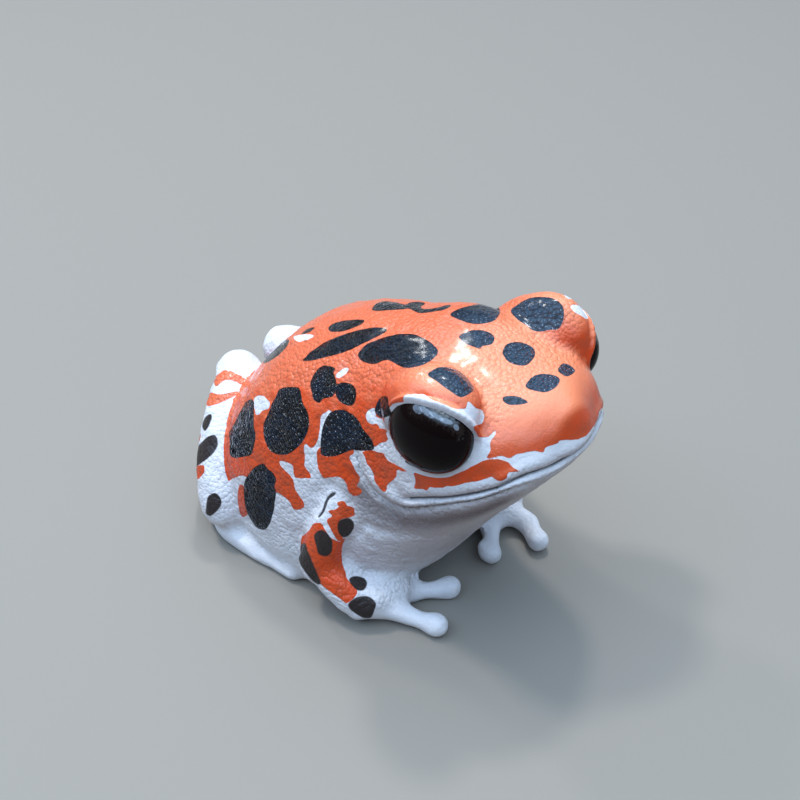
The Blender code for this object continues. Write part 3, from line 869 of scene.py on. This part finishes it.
paint = bpy.data.materials.new("orange_paint")
coat = Finish(paint)
place = coat.place()
ragged = coat.noise(place, RAGGED_SCALE, 3.0) - 0.5
orange_share = (coat.attribute("orange") + ragged * RAGGED_ORANGE).over(CRISP)
black_share = (coat.attribute("black") + ragged * RAGGED_SPOTS).over(CRISP)
dark_share = (coat.attribute("dark") + ragged * RAGGED_SPOTS).over(SOFT)
crease_share = (coat.attribute("crease") * -1.0).over(CREASE_WIDTH)
dull_share = (coat.noise(place, DULL_SCALE, 3.0) - 0.5).over(0.4)
blue_sheen_share = (coat.noise(place, BLUE_SHEEN_SCALE, 2.0) - 0.52).over(0.25)
sheen_share = coat.attribute("painted_sheen")
brushed = coat.mix(dull_share * (0.75 - sheen_share), ORANGE, DULL_ORANGE)
# Painted shade: the white turns greyer underneath and darker under the jaw.
colour = coat.mix(coat.attribute("under"), WHITE, SHADED)
colour = coat.mix(coat.attribute("neck") * NECK_SHARE, colour, NECK_SHADE)
# Painted sky sheen: the orange turns paler on faces turned up.
colour = coat.mix(orange_share, colour, coat.mix(sheen_share, brushed, SHEEN_ORANGE))
colour = coat.mix(dark_share, colour, DARK)
# Painted shade along the creases and the seam.
colour = coat.mix(crease_share * CREASE_SHADE_SHARE, colour, CREASE_SHADE)
# Painted blue sheen mottles the black at random.
spotted = coat.mix(blue_sheen_share, BLACK, BLUE_SHEEN_BLACK)
# Painted sky reflection turns the black blue-grey on top of the head.
colour = coat.mix(black_share, colour, coat.mix(coat.attribute("sky_reflection"), spotted, SKY_REFLECTION_BLACK))
beads = coat.node("ShaderNodeTexVoronoi", {}, {"Vector": place, "Scale": BEADS_SCALE}, "Distance")
grain = coat.noise(place, GRAIN_SCALE, 2.0)
height = beads * beads * (-0.15 - black_share * 0.36) * coat.attribute("beads")
height = height + grain * (0.04 - black_share * 0.03) + orange_share * 0.02 + black_share * 0.02
coat.put(
    Base_Color=colour,
    Roughness=0.42 - orange_share * 0.16 - black_share * 0.22,
    Normal=coat.node("ShaderNodeBump", {}, {"Height": height, "Strength": 1.0, "Distance": MM}),
    Specular_IOR_Level=0.28,
    Coat_Weight=coat.attribute("top") * 0.4,
    Coat_Roughness=0.16,
)
skin.data.materials.append(paint)
for face in skin.data.polygons:
    face.use_smooth = True
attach(skin, "root")
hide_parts(*FLESH)

# Eyes
# Two separate balls of clear-coated black, pushed into the sockets of the moulding.
# Their surface is smooth and mirror-like, with the coat thickest in a mottled streak along the upper edge.
STREAK = [(413, 407), (418, 409), (427, 412), (437, 416), (447, 421), (457, 427.5), (460, 431)]
STREAK_WIDTH = 0.40
BALL_FLATNESS = 0.965
PATCHES_SCALE = 4200.0

gloss_material = bpy.data.materials.new("eye_gloss")
gloss = Finish(gloss_material)
patches = gloss.noise(gloss.place(), PATCHES_SCALE, 3.0)
gloss.put(
    Base_Color=(0.006, 0.003, 0.003, 1),
    Roughness=0.03,
    Specular_IOR_Level=0.06,
    Coat_Weight=(gloss.attribute("streak") + patches * 1.5 - 0.68).over(0.5),
    Coat_IOR=2.0,
    Coat_Roughness=0.02,
)
for name, side in (("right_eye", -1), ("left_eye", 1)):
    place = Matrix.Translation(Vector((-side * EYE_MIDDLE.x, EYE_MIDDLE.y, EYE_MIDDLE.z)))
    tilt = Matrix.Rotation(-EYE_PITCH, 4, "X")
    lay = Matrix.Rotation(math.radians(90), 4, "Y")
    size = Matrix.Diagonal((EYE_SIZE[0] * BALL_FLATNESS, EYE_SIZE[1], EYE_SIZE[2], 1))
    ball = bmesh.new()
    bmesh.ops.create_uvsphere(ball, u_segments=96, v_segments=64, radius=1, matrix=place @ tilt @ size @ lay)
    for face in ball.faces:
        face.smooth = True
    eye = piece_from(ball, name + "_gloss")
    if side < 0:
        streak_line = seen_on(eye.data, STREAK)
    near_side = points_of(eye.data) * (MIRROR if side > 0 else 1)
    note_down(eye, "streak", STREAK_WIDTH - away_from(near_side, streak_line))
    eye.data.materials.append(gloss_material)
    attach(eye, "root")
    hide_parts(name)

# Floor
# A plain pale floor lies under the figure and takes its soft shadow.
# It is matt and a little warm, like painted board.
floor_shape = bmesh.new()
bmesh.ops.create_grid(floor_shape, x_segments=1, y_segments=1, size=1.5)
floor = piece_from(floor_shape, "floor")
floor_paint = bpy.data.materials.new("floor")
Finish(floor_paint).put(Base_Color=(0.24, 0.208, 0.172, 1), Roughness=0.7)
floor.data.materials.append(floor_paint)

# Light and sky
# Three small round lamps give the sparkles on the crown, and five wide patches the streak along the eye.
# A sparkle is a name, azimuth, elevation, width and power; a patch is an azimuth, an elevation and a width.
LAMP_AWAY = 0.5
FIGURE_MIDDLE = Vector((0, 0, 20)) * MM
DAYLIGHT = (0.96, 0.98, 1.0)
BLUE_SKY = (0.44, 0.66, 1.0)
SPARKLES = [("window", 34, 65, 0.062, 0.8), ("gap", 84, 45, 0.06, 0.35), ("crown", 108, 64, 0.07, 1.0)]
SKY_PATCHES = [(130, 30, 0.26), (152, 42, 0.36), (185, 50, 0.34), (226, 47, 0.38), (262, 29, 0.22)]
PATCH_HEIGHT = 0.15
PATCH_POWER = 0.85
LOWEST_SKY_COLOUR = (0.14, 0.13, 0.13, 1)
LOW_SKY_COLOUR = (1.15, 1.75, 2.45, 1)
HIGH_SKY_COLOUR = (2.75, 3.45, 4.3, 1)
LOW_SKY_AT, LOW_SKY_BLEND = 0.60, 0.24
HIGH_SKY_AT, HIGH_SKY_BLEND = 0.88, 0.14
SKY_STRENGTH = 0.75


def softbox(name, azimuth, elevation, aim, width, height, power, colour):
    data = bpy.data.lights.new(name, "AREA")
    data.shape = "ELLIPSE"
    data.size = width
    data.size_y = height
    data.energy = power
    data.color = colour
    lamp = bpy.data.objects.new(name, data)
    lamp.location = aim + direction(azimuth, elevation) * LAMP_AWAY
    lamp.rotation_euler = (aim - lamp.location).to_track_quat("-Z", "Y").to_euler()
    bpy.context.scene.collection.objects.link(lamp)


for name, azimuth, elevation, width, power in SPARKLES:
    softbox(name, azimuth, elevation, FIGURE_MIDDLE, width, width, power, DAYLIGHT)
for azimuth, elevation, width in SKY_PATCHES:
    name = f"sky_patch_{azimuth}"
    softbox(name, azimuth, elevation, EYE_MIDDLE, width, PATCH_HEIGHT, PATCH_POWER * width, BLUE_SKY)

world = bpy.data.worlds.new("world")
sky = Finish(world, "Background")
upward = sky.node("ShaderNodeTexCoord", {}, {}, "Generated")
up = sky.node("ShaderNodeSeparateXYZ", {}, {"Vector": upward}, "Z")
lower_sky = sky.mix((up - LOW_SKY_AT).over(LOW_SKY_BLEND), LOWEST_SKY_COLOUR, LOW_SKY_COLOUR)
whole_sky = sky.mix((up - HIGH_SKY_AT).over(HIGH_SKY_BLEND), lower_sky, HIGH_SKY_COLOUR)
sky.put(Color=whole_sky, Strength=SKY_STRENGTH)
bpy.context.scene.world = world
bpy.context.scene.view_settings.view_transform = "Standard"
